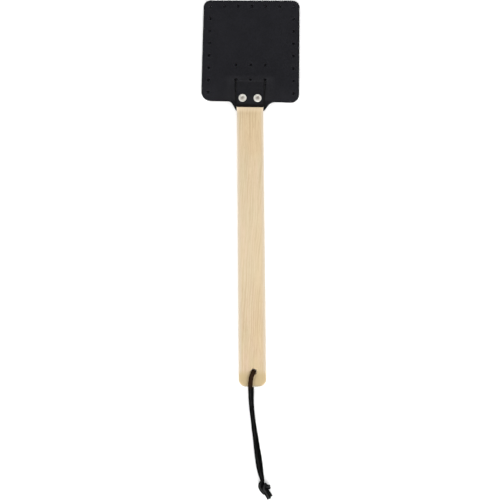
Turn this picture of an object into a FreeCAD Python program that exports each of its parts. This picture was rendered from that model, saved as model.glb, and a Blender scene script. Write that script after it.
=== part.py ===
import FreeCAD, Part
import math
import os

import Sketcher
from FreeCAD import Placement, Rotation, Vector

# Leather fly swatter, lying face up on a flat surface.
# One leather piece is the flap. Two slits free a tongue at its neck: the tongue climbs onto the front
# of a flat wooden handle and is held there by two rivets with burrs, and the two ears left beside it
# hug the handle's edges. A flat leather lace passes through a hole at the handle's end and is knotted.
# The flap bends where the tongue climbs, so the leather is parted there into tongue and panel.
#
# Frame: +X to the right, +Y along the handle towards the flap, +Z up out of the front face.
# The origin is the centre of the bounding box of handle, flap and rivets, on the surface it lies on.

TURN_OF_BEND = 45.0  # degrees that the tongue climbs at
MITRE = math.tan(math.radians(TURN_OF_BEND / 2))
SLOPE = math.sqrt(0.5)  # sine and cosine of the climb

DIMENSIONS = [
    # where the handle's end centre lies in the frame
    ("handle_axis_x", -0.96),
    ("handle_end_y", -216.86),
    # handle, a flat slat
    ("slat_length", 333.4),
    ("slat_top_width", 29.6),
    ("slat_end_width", 30.9),
    ("slat_thickness", 7.0),
    ("slat_underside", 2.4),
    ("slat_end_bow", 1.3),
    ("slat_corner", 7.0),
    ("slat_edge", 1.4),
    # lace hole
    ("lace_hole_x", 1.5),
    ("lace_hole_y", 18.2),
    ("lace_hole_radius", 3.0),
    ("lace_hole_rim", 1.2),
    # flap, measured from the point midway between the rivets
    ("neck_x", 0.2),
    ("neck_y", 324.6),
    ("flap_turn", 1.43),
    ("leather", 2.8),
    ("flap_top_half", 53.3),
    ("flap_bottom_half", 54.6),
    ("flap_top_left", 107.9),
    ("flap_top_right", 109.3),
    ("flap_bottom", 4.3),
    ("flap_top_corner", 7.5),
    ("flap_bottom_corner", 8.5),
    # neck: ears beside the handle and slits between ears and tongue
    ("neck_half_left", 21.6),
    ("neck_half_right", 23.6),
    ("neck_fillet_left", 5.0),
    ("neck_fillet_right", 9.0),
    ("ear_tip", 13.5),
    ("ear_tip_inner", 15.45),
    ("ear_tip_outer", 16.2),
    ("slit_half", 16.6),
    ("slit_kerf", 0.6),
    ("slit_top", 20.6),
    # tongue
    ("tongue_end", 9.6),
    ("tongue_end_half", 15.0),
    ("tongue_trim", 3.0),
    ("climb_root", 3.0),
    ("bend_low", 18.6),
    ("bend_inner", 2.6),
    ("bend_gap", 1.3),
    # air holes
    ("air_hole_radius", 1.15),
    ("air_row_pitch", 15.5),
    ("air_row_centre", 0.65),
    ("air_row_left", 102.1),
    ("air_row_right", 103.3),
    ("air_column_low", 5.75),
    ("air_column_spread", 1.3),
    ("air_grid_pitch", 16.4),
    ("air_grid_low", 20.2),
    ("air_grid_high", 36.9),
    # rivets and burrs
    ("rivet_spacing", 16.8),
    ("rivet_drop", 0.4),
    ("rivet_head_radius", 5.0),
    ("rivet_head_shoulder", 4.4),
    ("rivet_head_shoulder_rise", 1.0),
    ("rivet_head_crown", 2.5),
    ("rivet_post_radius", 1.9),
    ("rivet_hole_radius", 2.0),
    ("rivet_peen_radius", 2.25),
    ("rivet_peen_crown", 1.6),
    ("rivet_peen_rise", 0.6),
    ("burr_radius", 4.35),
    ("burr_bore", 1.95),
    ("burr_thickness", 1.1),
    ("burr_rim", 0.45),
    # lace
    ("lace_width", 4.6),
    ("lace_thickness", 2.0),
    # knot: a rounded core lying along the strands, a bight beside it and the two cut tails, stacked
    ("knot_width", 9.6),
    ("knot_length", 12.0),
    ("knot_height", 6.6),
    ("knot_round", 2.6),
    ("knot_centre_x", 11.5),
    ("knot_centre_y", -110.4),
    ("knot_turn", 15.0),
    ("bight_length", 8.0),
    ("bight_width", 5.3),
    ("bight_height", 5.3),
    ("bight_x", 10.7),
    ("bight_y", -111.2),
    ("bight_low", 0.4),
    ("bight_turn", 5.0),
    ("tails_length", 12.0),
    ("tails_width", 6.2),
    ("tails_height", 4.1),
    ("tails_x", 11.0),
    ("tails_y", -113.4),
    ("tails_low", 0.1),
    ("tails_turn", 51.8),
]
AIR_ROW_HOLES = 7
AIR_COLUMN_HOLES = 7  # below the top row, on each side

# The lace runs from the knot up the front strand, down through the hole and back along the rear strand.
# Each point is (x from the handle's centre line, y from the handle's end, z above the surface).
# Both strands leave the hole in one upright plane, so that the flat lace isn't twisted by the bends.
LACE_ROUTE = [
    (10.24, -105.15, 3.40),
    (8.7, -99.4, 3.35),
    (6.7, -92.2, 3.30),
    (5.1, -83.0, 3.25),
    (3.7, -71.5, 3.30),
    (2.6, -60.0, 3.25),
    (1.2, -48.0, 3.30),
    (0.1, -36.0, 3.35),
    (-1.0, -26.0, 3.90),
    (-1.8, -17.0, 5.60),
    (-2.4, -9.0, 8.40),
    (-2.6, -2.0, 10.90),
    (-2.45, 4.8, 10.95),
    (-1.46, 11.86, 10.85),
    (0.51, 16.07, 10.85),
    (1.77, 18.79, 7.95),
    (1.77, 18.79, 3.85),
    (0.51, 16.07, 1.10),
    (-1.2, 12.40, 1.10),
    (-1.5, 5.0, 1.10),
    (-0.9, -3.5, 1.10),
    (-1.2, -12.5, 1.10),
    (-0.8, -23.5, 1.10),
    (0.1, -34.5, 1.10),
    (1.8, -46.5, 1.10),
    (3.9, -58.5, 1.10),
    (5.5, -70.5, 1.10),
    (7.3, -82.0, 1.10),
    (8.2, -91.5, 1.10),
    (9.0, -99.35, 1.10),
    (10.50, -105.10, 1.10),
]
ARC_SHARE = 0.45  # of the shorter run, taken up by the arc at each point
SAME_PLACE = 0.01  # two places nearer to each other than this are one

document = FreeCAD.newDocument("fly_swatter")
sheet = document.addObject("Spreadsheet::Sheet", "Dimensions")


class Size:
    """A length worked out from the sheet: its number now, and the expression that keeps it bound."""

    def __init__(self, number, text):
        self.number = number
        self.text = text

    @staticmethod
    def of(other):
        return other if isinstance(other, Size) else Size(float(other), repr(float(other)))

    def __add__(self, other):
        other = Size.of(other)
        return Size(self.number + other.number, f"({self.text} + {other.text})")

    def __sub__(self, other):
        other = Size.of(other)
        return Size(self.number - other.number, f"({self.text} - {other.text})")

    def __mul__(self, factor):
        return Size(self.number * factor, f"({self.text} * {float(factor)!r})")

    def __truediv__(self, divisor):
        return self * (1.0 / divisor)

    def __neg__(self):
        return self * -1.0


def fill_sheet():
    """Writes the driving dimensions to the sheet, each cell with an alias, and returns them as sizes."""
    sizes = {}
    for row, (alias, number) in enumerate(DIMENSIONS, start=1):
        sheet.set(f"A{row}", alias.replace("_", " "))
        sheet.set(f"B{row}", str(number))
        sheet.setAlias(f"B{row}", alias)
        sizes[alias] = Size(number, f"Dimensions.{alias}")
    document.recompute()
    return sizes


def bind(thing, prop, size):
    """Keeps a property at a size."""
    thing.setExpression(prop, Size.of(size).text)


def new_body(label):
    """A part design body whose label names its file."""
    body = document.addObject("PartDesign::Body", label)
    body.Label = label
    return body


def new_sketch(body, name, plane="XY_Plane", height=None):
    """A sketch on one of the body's origin planes, raised by height."""
    sketch = body.newObject("Sketcher::SketchObject", name)
    origin_plane = next(f for f in body.Origin.OriginFeatures if f.Role == plane)
    sketch.AttachmentSupport = [(origin_plane, "")]
    sketch.MapMode = "FlatFace"
    if height is not None:
        bind(sketch, "AttachmentOffset.Base.z", height)
    return sketch


def pin_point(sketch, geometry, point, corner):
    """Holds a sketch point at a pair of sizes from the sketch's origin."""
    for kind, size in zip(("DistanceX", "DistanceY"), corner):
        index = sketch.addConstraint(
            Sketcher.Constraint(kind, -1, 1, geometry, point, Size.of(size).number)
        )
        sketch.setExpression(f"Constraints[{index}]", Size.of(size).text)


def draw_polygon(sketch, corners):
    """A closed loop of straight lines through the corners, each corner held by its sizes."""
    flat = [Vector(Size.of(u).number, Size.of(v).number, 0) for u, v in corners]
    count = len(flat)
    for i in range(count):
        sketch.addGeometry(Part.LineSegment(flat[i], flat[(i + 1) % count]), False)
    for i in range(count):
        sketch.addConstraint(Sketcher.Constraint("Coincident", i, 2, (i + 1) % count, 1))
    for i in range(count):
        pin_point(sketch, i, 1, corners[i])


def draw_circle(sketch, centre, radius):
    """A circle held at its centre and radius."""
    middle = Vector(Size.of(centre[0]).number, Size.of(centre[1]).number, 0)
    index = sketch.addGeometry(Part.Circle(middle, Vector(0, 0, 1), radius.number), False)
    pin_point(sketch, index, 3, centre)
    held = sketch.addConstraint(Sketcher.Constraint("Radius", index, radius.number))
    sketch.setExpression(f"Constraints[{held}]", radius.text)


def pad(body, sketch, length, midplane=False):
    """A pad of the sketch along its normal."""
    feature = body.newObject("PartDesign::Pad", f"{sketch.Name}_pad")
    feature.Profile = sketch
    feature.Midplane = midplane
    bind(feature, "Length", length)
    sketch.Visibility = False
    document.recompute()
    return feature


def drill(body, sketch):
    """A pocket of the sketch, cut through the whole solid both ways."""
    before = body.Shape.Volume
    feature = body.newObject("PartDesign::Pocket", f"{sketch.Name}_pocket")
    feature.Profile = sketch
    feature.Type = "ThroughAll"
    feature.Midplane = True
    document.recompute()
    if body.Shape.Volume >= before:
        raise RuntimeError(f"{sketch.Name} cut nothing from {body.Label}")
    return feature


def round_edges(body, radius, chosen):
    """A fillet on those edges of the body that chosen accepts."""
    tip = body.Tip
    names = [f"Edge{i}" for i, edge in enumerate(tip.Shape.Edges, start=1) if chosen(edge)]
    if not names:
        raise RuntimeError(f"no edge of {body.Label} to round by {radius.number} mm")
    feature = body.newObject("PartDesign::Fillet", f"{body.Name}_round")
    feature.Base = (tip, names)
    bind(feature, "Radius", radius)
    document.recompute()
    return feature


def runs_upright_at(edge, x, y):
    """Whether the edge is a straight upright one at that place."""
    ends = [v.Point for v in edge.Vertexes]
    return (
        len(ends) == 2
        and abs(ends[0].z - ends[1].z) > SAME_PLACE
        and all(math.hypot(p.x - x, p.y - y) < SAME_PLACE for p in ends)
    )


def runs_across_at(edge, y, z):
    """Whether the edge runs straight along x at that place."""
    ends = [v.Point for v in edge.Vertexes]
    return (
        len(ends) == 2
        and abs(ends[0].x - ends[1].x) > SAME_PLACE
        and all(math.hypot(p.y - y, p.z - z) < SAME_PLACE for p in ends)
    )


def place_on_handle(thing):
    """Puts a piece drawn from the handle's end centre into the frame."""
    bind(thing, "Placement.Base.x", dim["handle_axis_x"])
    bind(thing, "Placement.Base.y", dim["handle_end_y"])


def place_on_flap(thing):
    """Puts a piece drawn from the neck's centre, square to the flap, into the frame."""
    thing.Placement = Placement(Vector(0, 0, 0), Rotation(Vector(0, 0, 1), 0))
    bind(thing, "Placement.Base.x", dim["handle_axis_x"] + dim["neck_x"])
    bind(thing, "Placement.Base.y", dim["handle_end_y"] + dim["neck_y"])
    bind(thing, "Placement.Rotation.Angle", -dim["flap_turn"])


def rivet_places():
    """The two rivets' centres from the neck's centre: left, then right."""
    half = dim["rivet_spacing"] / 2
    return {"left": -half, "right": half}


def make_handle():
    """A flat slat with a bowed, round-cornered end, a lace hole and two rivet holes."""
    body = new_body("handle")
    outline = new_sketch(body, "slat_outline", height=dim["slat_underside"])
    half_top, half_end = dim["slat_top_width"] / 2, dim["slat_end_width"] / 2
    corners = [
        (-half_end, dim["slat_end_bow"]),
        (half_end, dim["slat_end_bow"]),
        (half_top, dim["slat_length"]),
        (-half_top, dim["slat_length"]),
    ]
    flat = [Vector(u.number, v.number, 0) for u, v in corners]
    outline.addGeometry(Part.Arc(flat[0], Vector(0, 0, 0), flat[1]), False)
    for start, end in ((1, 2), (2, 3), (3, 0)):
        outline.addGeometry(Part.LineSegment(flat[start], flat[end]), False)
    outline.addConstraint(Sketcher.Constraint("Coincident", 1, 1, 0, 2))
    outline.addConstraint(Sketcher.Constraint("Coincident", 1, 2, 2, 1))
    outline.addConstraint(Sketcher.Constraint("Coincident", 2, 2, 3, 1))
    outline.addConstraint(Sketcher.Constraint("Coincident", 3, 2, 0, 1))
    outline.addConstraint(Sketcher.Constraint("PointOnObject", -1, 1, 0))
    pin_point(outline, 0, 1, corners[0])
    pin_point(outline, 0, 2, corners[1])
    pin_point(outline, 2, 1, corners[2])
    pin_point(outline, 3, 1, corners[3])
    pad(body, outline, dim["slat_thickness"])
    lowest_corner = dim["slat_end_bow"].number
    for side in (-1, 1):
        x = side * half_end.number
        round_edges(
            body, dim["slat_corner"], lambda e, x=x: runs_upright_at(e, x, lowest_corner)
        )
    faces = (dim["slat_underside"].number, (dim["slat_underside"] + dim["slat_thickness"]).number)

    def on_a_face(edge):
        box = edge.BoundBox
        return box.ZLength < SAME_PLACE and any(abs(box.ZMin - z) < SAME_PLACE for z in faces)

    round_edges(body, dim["slat_edge"], on_a_face)
    hole = new_sketch(body, "lace_hole")
    hole_centre = Vector(dim["lace_hole_x"].number, dim["lace_hole_y"].number, 0)
    draw_circle(hole, (dim["lace_hole_x"], dim["lace_hole_y"]), dim["lace_hole_radius"])
    drill(body, hole)

    def around_hole(edge):
        middle = edge.BoundBox.Center
        off_centre = math.hypot(middle.x - hole_centre.x, middle.y - hole_centre.y)
        return on_a_face(edge) and off_centre < SAME_PLACE

    round_edges(body, dim["lace_hole_rim"], around_hole)
    rivet_holes = new_sketch(body, "slat_rivet_holes")
    for x in rivet_places().values():
        # the rivets' row is turned a little from the handle, as the flap is
        drop = x * math.sin(math.radians(dim["flap_turn"].number))
        row = dim["neck_y"] - dim["rivet_drop"] - drop
        draw_circle(rivet_holes, (x + dim["neck_x"], row), dim["rivet_hole_radius"])
    drill(body, rivet_holes)
    place_on_handle(body)
    return body


def half_of_climb(low_side):
    """Corners of one half of the climbing strip, in y and z, cut square at the middle of the climb.

    The strip's middle line is level at the panel or on the handle and climbs at 45 degrees between."""
    half = dim["leather"] / 2
    low = half
    high = dim["slat_underside"] + dim["slat_thickness"] + half
    rise = high - low
    middle = (dim["bend_low"] - rise / 2, (low + high) / 2)
    gap = dim["bend_gap"] / 2 * SLOPE
    reach = half * SLOPE
    if low_side:
        y, z = middle[0] + gap, middle[1] - gap
        root = dim["slit_top"] + dim["climb_root"]
        return [
            (root, 0.0),
            (root, dim["leather"]),
            (dim["bend_low"] + half * MITRE, dim["leather"]),
            (y + reach, z + reach),
            (y - reach, z - reach),
            (dim["bend_low"] - half * MITRE, 0.0),
        ]
    y, z = middle[0] - gap, middle[1] + gap
    bend = dim["bend_low"] - rise
    return [
        (-dim["tongue_end"], high - half),
        (bend - half * MITRE, high - half),
        (y - reach, z - reach),
        (y + reach, z + reach),
        (bend + half * MITRE, high + half),
        (-dim["tongue_end"], high + half),
    ]


def round_bend(body, corners, inner, outer):
    """Rounds the strip's bend: the inner radius on one corner, and that plus the leather on the other."""
    for index, radius in ((inner, dim["bend_inner"]), (outer, dim["bend_inner"] + dim["leather"])):
        y, z = (Size.of(size).number for size in corners[index])
        round_edges(body, radius, lambda e, y=y, z=z: runs_across_at(e, y, z))


def air_holes():
    """Centres of the air holes: a row along the top, a column down each side and a grid at the neck."""
    places = []
    middle = (AIR_ROW_HOLES - 1) / 2
    for i in range(AIR_ROW_HOLES):
        share = i / (AIR_ROW_HOLES - 1)
        x = dim["air_row_centre"] + dim["air_row_pitch"] * (i - middle)
        places.append((x, dim["air_row_left"] * (1 - share) + dim["air_row_right"] * share))
    for side, top in ((-1, dim["air_row_left"]), (1, dim["air_row_right"])):
        for i in range(1, AIR_COLUMN_HOLES + 1):
            share = i / AIR_COLUMN_HOLES
            x = dim["air_row_centre"] + dim["air_row_pitch"] * (middle * side)
            x = x + dim["air_column_spread"] * (side * share)
            places.append((x, top * (1 - share) + dim["air_column_low"] * share))
    for column in (-1, 0, 1):
        places.append((dim["air_grid_pitch"] * column, dim["air_grid_high"]))
        places.append((dim["air_grid_pitch"] * column, dim["air_grid_low"]))
    return places


def make_flap_panel():
    """The flap with its two ears, the lower half of the climb and the air holes."""
    body = new_body("flap_panel")
    outline = new_sketch(body, "panel_outline")
    bottom, tip = -dim["flap_bottom"], -dim["ear_tip"]
    corners = [
        (-dim["flap_top_half"], dim["flap_top_left"]),
        (-dim["flap_bottom_half"], bottom),
        (-dim["neck_half_left"], bottom),
        (-dim["ear_tip_outer"], tip),
        (-dim["ear_tip_inner"], tip),
        (-dim["slit_half"], dim["slit_top"]),
        (dim["slit_half"], dim["slit_top"]),
        (dim["ear_tip_inner"], tip),
        (dim["ear_tip_outer"], tip),
        (dim["neck_half_right"], bottom),
        (dim["flap_bottom_half"], bottom),
        (dim["flap_top_half"], dim["flap_top_right"]),
    ]
    draw_polygon(outline, corners)
    pad(body, outline, dim["leather"])
    roundings = [
        (0, dim["flap_top_corner"]),
        (11, dim["flap_top_corner"]),
        (1, dim["flap_bottom_corner"]),
        (10, dim["flap_bottom_corner"]),
        (2, dim["neck_fillet_left"]),
        (9, dim["neck_fillet_right"]),
    ]
    for index, radius in roundings:
        x, y = corners[index][0].number, corners[index][1].number
        round_edges(body, radius, lambda e, x=x, y=y: runs_upright_at(e, x, y))
    climb = new_sketch(body, "panel_climb", plane="YZ_Plane")
    strip = half_of_climb(low_side=True)
    draw_polygon(climb, strip)
    pad(body, climb, (dim["slit_half"] - dim["slit_kerf"]) * 2, midplane=True)
    round_bend(body, strip, inner=2, outer=5)
    holes = new_sketch(body, "panel_air_holes")
    for centre in air_holes():
        draw_circle(holes, centre, dim["air_hole_radius"])
    drill(body, holes)
    place_on_flap(body)
    return body


def make_flap_tongue():
    """The tongue on the handle's front face, with the upper half of the climb and two rivet holes."""
    body = new_body("flap_tongue")
    climb = new_sketch(body, "tongue_climb", plane="YZ_Plane")
    strip = half_of_climb(low_side=False)
    draw_polygon(climb, strip)
    pad(body, climb, (dim["slit_half"] - dim["slit_kerf"]) * 2, midplane=True)
    round_bend(body, strip, inner=1, outer=4)
    trim = new_sketch(body, "tongue_taper")
    root_half = dim["slit_half"] - dim["slit_kerf"]
    end, root = -dim["tongue_end"] - dim["tongue_trim"], dim["slit_top"]
    for side in (-1, 1):
        first = 3 if side > 0 else 0
        corners = [
            (dim["tongue_end_half"] * side, end),
            (root_half * side, root),
            ((root_half + dim["tongue_trim"]) * side, end),
        ]
        flat = [Vector(u.number, v.number, 0) for u, v in corners]
        for i in range(3):
            trim.addGeometry(Part.LineSegment(flat[i], flat[(i + 1) % 3]), False)
        for i in range(3):
            trim.addConstraint(
                Sketcher.Constraint("Coincident", first + i, 2, first + (i + 1) % 3, 1)
            )
        for i in range(3):
            pin_point(trim, first + i, 1, corners[i])
    drill(body, trim)
    holes = new_sketch(body, "tongue_rivet_holes")
    for x in rivet_places().values():
        draw_circle(holes, (x, -dim["rivet_drop"]), dim["rivet_hole_radius"])
    drill(body, holes)
    place_on_flap(body)
    return body


def make_rivet(side, x):
    """A rivet: a domed head under the handle, a post through wood and leather, and a peened end."""
    body = new_body(f"rivet_{side}")
    profile = new_sketch(body, f"rivet_{side}_profile", plane="XZ_Plane")
    top = burr_top()
    corners = [
        (0.0, 0.0),
        (dim["rivet_head_crown"], 0.0),
        (dim["rivet_head_shoulder"], dim["rivet_head_shoulder_rise"]),
        (dim["rivet_head_radius"], dim["slat_underside"]),
        (dim["rivet_post_radius"], dim["slat_underside"]),
        (dim["rivet_post_radius"], top),
        (dim["rivet_peen_radius"], top),
        (dim["rivet_peen_crown"], top + dim["rivet_peen_rise"]),
        (0.0, top + dim["rivet_peen_rise"]),
    ]
    draw_polygon(profile, corners)
    spin(body, profile)
    place_on_rivet(body, x)
    return body


def burr_top():
    """Height of the burr's upper face above the surface."""
    return dim["slat_underside"] + dim["slat_thickness"] + dim["leather"] + dim["burr_thickness"]


def make_burr(side, x):
    """A washer with a rounded rim, pressed over the rivet's post on the leather."""
    body = new_body(f"rivet_burr_{side}")
    profile = new_sketch(body, f"burr_{side}_profile", plane="XZ_Plane")
    foot = dim["slat_underside"] + dim["slat_thickness"] + dim["leather"]
    corners = [
        (dim["burr_bore"], foot),
        (dim["burr_radius"], foot),
        (dim["burr_radius"], foot + dim["burr_thickness"] * 0.5),
        (dim["burr_radius"] - dim["burr_rim"], burr_top()),
        (dim["burr_bore"], burr_top()),
    ]
    draw_polygon(profile, corners)
    spin(body, profile)
    place_on_rivet(body, x)
    return body


def spin(body, sketch):
    """A full revolution of the sketch about the body's own upright axis."""
    feature = body.newObject("PartDesign::Revolution", f"{sketch.Name}_turned")
    feature.Profile = sketch
    upright = next(f for f in body.Origin.OriginFeatures if f.Role == "Z_Axis")
    feature.ReferenceAxis = (upright, [""])
    feature.Angle = 360.0
    sketch.Visibility = False
    document.recompute()
    return feature


def place_on_rivet(thing, x):
    """Puts a turned piece on its rivet's axis: along the flap's own line through the neck's centre."""
    angle = math.radians(dim["flap_turn"].number)
    bind(thing, "Placement.Base.x", dim["handle_axis_x"] + dim["neck_x"] + x * math.cos(angle))
    row = dim["neck_y"] - dim["rivet_drop"]
    bind(thing, "Placement.Base.y", dim["handle_end_y"] + row - x * math.sin(angle))


def route_points():
    """The lace's route in the frame."""
    shift = Vector(dim["handle_axis_x"].number, dim["handle_end_y"].number, 0)
    return [Vector(*point) + shift for point in LACE_ROUTE]


def lay_box(name, length, width, height, start, turn, lowest):
    """A box whose length runs from start at an angle below +X, centred across its width."""
    block = document.addObject("Part::Box", name)
    bind(block, "Length", length)
    bind(block, "Width", width)
    bind(block, "Height", height)
    spun = Rotation(Vector(0, 0, 1), -turn)
    corner = start - spun.multVec(Vector(0, width.number / 2, 0))
    shift = Vector(dim["handle_axis_x"].number, dim["handle_end_y"].number, lowest)
    block.Placement = Placement(corner + shift, spun)
    return block


def make_knot():
    """The knot's core with the bight pointing right and the tails down to the right."""
    turn = 90.0 - dim["knot_turn"].number
    centre = Vector(dim["knot_centre_x"].number, dim["knot_centre_y"].number, 0)
    along = Vector(math.cos(math.radians(turn)), -math.sin(math.radians(turn)), 0)
    start = centre - along * (dim["knot_length"].number / 2)
    core = lay_box(
        "knot_core",
        dim["knot_length"],
        dim["knot_width"],
        dim["knot_height"],
        start,
        turn,
        0.0,
    )
    document.recompute()
    rounded = document.addObject("Part::Fillet", "knot_core_round")
    rounded.Base = core
    radius = dim["knot_round"].number
    rounded.Edges = [(i, radius, radius) for i in range(1, 13)]
    bight = lay_box(
        "knot_bight",
        dim["bight_length"],
        dim["bight_width"],
        dim["bight_height"],
        Vector(dim["bight_x"].number, dim["bight_y"].number, 0),
        dim["bight_turn"].number,
        dim["bight_low"].number,
    )
    tails = lay_box(
        "knot_tails",
        dim["tails_length"],
        dim["tails_width"],
        dim["tails_height"],
        Vector(dim["tails_x"].number, dim["tails_y"].number, 0),
        dim["tails_turn"].number,
        dim["tails_low"].number,
    )
    knot = document.addObject("Part::MultiFuse", "lanyard_knot")
    knot.Label = "lanyard_knot"
    knot.Shapes = [rounded, bight, tails]
    document.recompute()
    return knot


def path_through(points):
    """Straight runs joined by tangent arcs, and the arcs' radii."""
    edges, radii = [], []
    last = points[0]
    for before, corner, after in zip(points, points[1:], points[2:]):
        inward = (before - corner).normalize()
        outward = (after - corner).normalize()
        turn = math.pi - inward.getAngle(outward)
        cut = ARC_SHARE * min((before - corner).Length, (after - corner).Length)
        radius = cut / math.tan(turn / 2)
        start, end = corner + inward * cut, corner + outward * cut
        bisector = (inward + outward).normalize()
        centre_distance = radius / math.cos(turn / 2)
        middle = corner + bisector * (centre_distance - radius)
        edges.append(Part.LineSegment(last, start).toShape())
        edges.append(Part.Arc(start, middle, end).toShape())
        radii.append(radius)
        last = end
    edges.append(Part.LineSegment(last, points[-1]).toShape())
    return Part.Wire(edges), radii


def make_lace():
    """The flat lace swept along its route, width level where it lies and across the hole inside it."""
    points = route_points()
    path, radii = path_through(points)
    print("lace arc radii, mm:", " ".join(f"{r:.1f}" for r in radii))
    along = (points[1] - points[0]).normalize()
    across = along.cross(Vector(0, 0, 1)).normalize()
    upward = across.cross(along)
    half_width, half_thick = dim["lace_width"].number / 2, dim["lace_thickness"].number / 2
    section = [
        points[0] + across * (half_width * a) + upward * (half_thick * b)
        for a, b in ((-1, -1), (1, -1), (1, 1), (-1, 1), (-1, -1))
    ]
    solid = path.makePipeShell([Part.makePolygon(section)], True, False)
    expected = dim["lace_width"].number * dim["lace_thickness"].number * path.Length
    print(f"lace length {path.Length:.1f} mm, volume {solid.Volume:.0f} of {expected:.0f} mm3")
    lace = document.addObject("Part::Feature", "lanyard_lace")
    lace.Label = "lanyard_lace"
    lace.Shape = solid
    return lace


dim = fill_sheet()
parts = [make_handle(), make_flap_panel(), make_flap_tongue()]
for rivet_side, rivet_x in rivet_places().items():
    parts.append(make_rivet(rivet_side, rivet_x))
    parts.append(make_burr(rivet_side, rivet_x))
parts.append(make_lace())
parts.append(make_knot())
document.recompute()
for item in document.Objects:
    if {"Invalid", "Error"} & set(item.State):
        raise RuntimeError(f"{item.Label} failed: {item.State}")
for part in parts:
    if part.Shape.isNull() or not part.Shape.isValid():
        raise RuntimeError(f"{part.Label} has no valid shape")
os.makedirs("parts", exist_ok=True)
for part in parts:
    part.Shape.exportStep(f"parts/{part.Label}.step")
    box = part.Shape.BoundBox
    print(part.Label, f"{part.Shape.Volume:.0f} mm3", box, len(part.Shape.Solids))
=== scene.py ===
import math

import bpy
import numpy as np
from mathutils import Matrix, Vector
from mathutils.geometry import delaunay_2d_cdt


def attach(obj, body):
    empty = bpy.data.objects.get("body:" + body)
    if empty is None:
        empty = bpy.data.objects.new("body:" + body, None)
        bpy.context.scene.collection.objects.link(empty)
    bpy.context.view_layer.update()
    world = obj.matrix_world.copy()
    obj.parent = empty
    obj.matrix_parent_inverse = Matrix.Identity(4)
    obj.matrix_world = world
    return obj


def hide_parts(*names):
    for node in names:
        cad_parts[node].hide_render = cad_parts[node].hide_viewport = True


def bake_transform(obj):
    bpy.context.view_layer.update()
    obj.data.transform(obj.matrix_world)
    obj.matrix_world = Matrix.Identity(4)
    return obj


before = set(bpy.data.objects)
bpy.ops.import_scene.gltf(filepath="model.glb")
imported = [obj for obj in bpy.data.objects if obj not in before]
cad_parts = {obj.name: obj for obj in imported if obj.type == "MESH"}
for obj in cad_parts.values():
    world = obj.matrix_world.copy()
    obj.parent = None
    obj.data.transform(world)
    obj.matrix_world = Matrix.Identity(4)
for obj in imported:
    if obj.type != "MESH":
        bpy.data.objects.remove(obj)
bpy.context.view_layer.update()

# Looks of a leather fly swatter that lies face up. Lengths are written in millimetres, as in the CAD
# source, and every mesh is made in metres in the CAD's own frame.
MM = 0.001

# Where the handle's end centre lies, and the flap's own centre line through the neck.
HANDLE_END = Vector((-0.96, -216.86, 0.0))
NECK_X = 0.2
NECK = HANDLE_END + Vector((NECK_X, 324.6, 0.0))
FLAP_TURN = math.radians(-1.43)
TO_FLAP = Matrix.Translation(NECK) @ Matrix.Rotation(FLAP_TURN, 4, "Z")

SLAT_LOW, SLAT_HIGH = 2.4, 9.4  # the heights of its back and front
SLAT_END = 0.8  # the sanded end stops that far inside the CAD's
SLAT_MIDDLE = 165.0  # from its end
LEATHER = 2.8
GRAIN_LEAN = -0.07  # across per along
RING_WIDTH = 3.1
KNOT_LOW, KNOT_HIGH = -0.3275, -0.3235  # in metres along Y: the knot's paler leather sets in between these

# The slat's holes, measured from the handle's end centre.
LACE_HOLE = (1.5, 18.2)
LACE_HOLE_RADIUS = 3.0
RIVET_ROW = 324.2
RIVET_HALF_SPACING = 8.4
RIVET_HOLE_RADIUS = 2.0


# ---------------------------------------------------------------- camera, floor and light


def aim(thing, place, target, up):
    """Puts a camera or light at a place in metres, looking at a target, with up towards its own top."""
    forward = (Vector(target) - Vector(place)).normalized()
    right = forward.cross(Vector(up)).normalized()
    upward = right.cross(forward)
    turned = Matrix((right, upward, -forward)).transposed().to_4x4()
    thing.matrix_world = Matrix.Translation(Vector(place)) @ turned


def add_camera():
    """A long lens straight above the swatter, turned a little so that the handle leans as it should."""
    field, lens, sensor = 0.560, 300.0, 36.0
    centre = Vector((-0.00239, -0.06276, 0.007))
    up = (0.00923, 1.0, 0.0)
    data = bpy.data.cameras.new("camera")
    data.lens, data.sensor_width = lens, sensor
    data.clip_start, data.clip_end = 0.05, 20.0
    camera = bpy.data.objects.new("camera", data)
    bpy.context.scene.collection.objects.link(camera)
    aim(camera, centre + Vector((0, 0, field * lens / sensor)), centre, up)
    bpy.context.scene.camera = camera


def add_softbox(name, place, width, height, watts):
    """A rectangular soft light that faces the swatter's middle."""
    data = bpy.data.lights.new(name, "AREA")
    data.shape, data.size, data.size_y, data.energy = "RECTANGLE", width, height, watts
    light = bpy.data.objects.new(name, data)
    light.visible_camera = False
    bpy.context.scene.collection.objects.link(light)
    aim(light, place, (0.0, -0.05, 0.0), (0.0, 0.0, 1.0))


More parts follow.
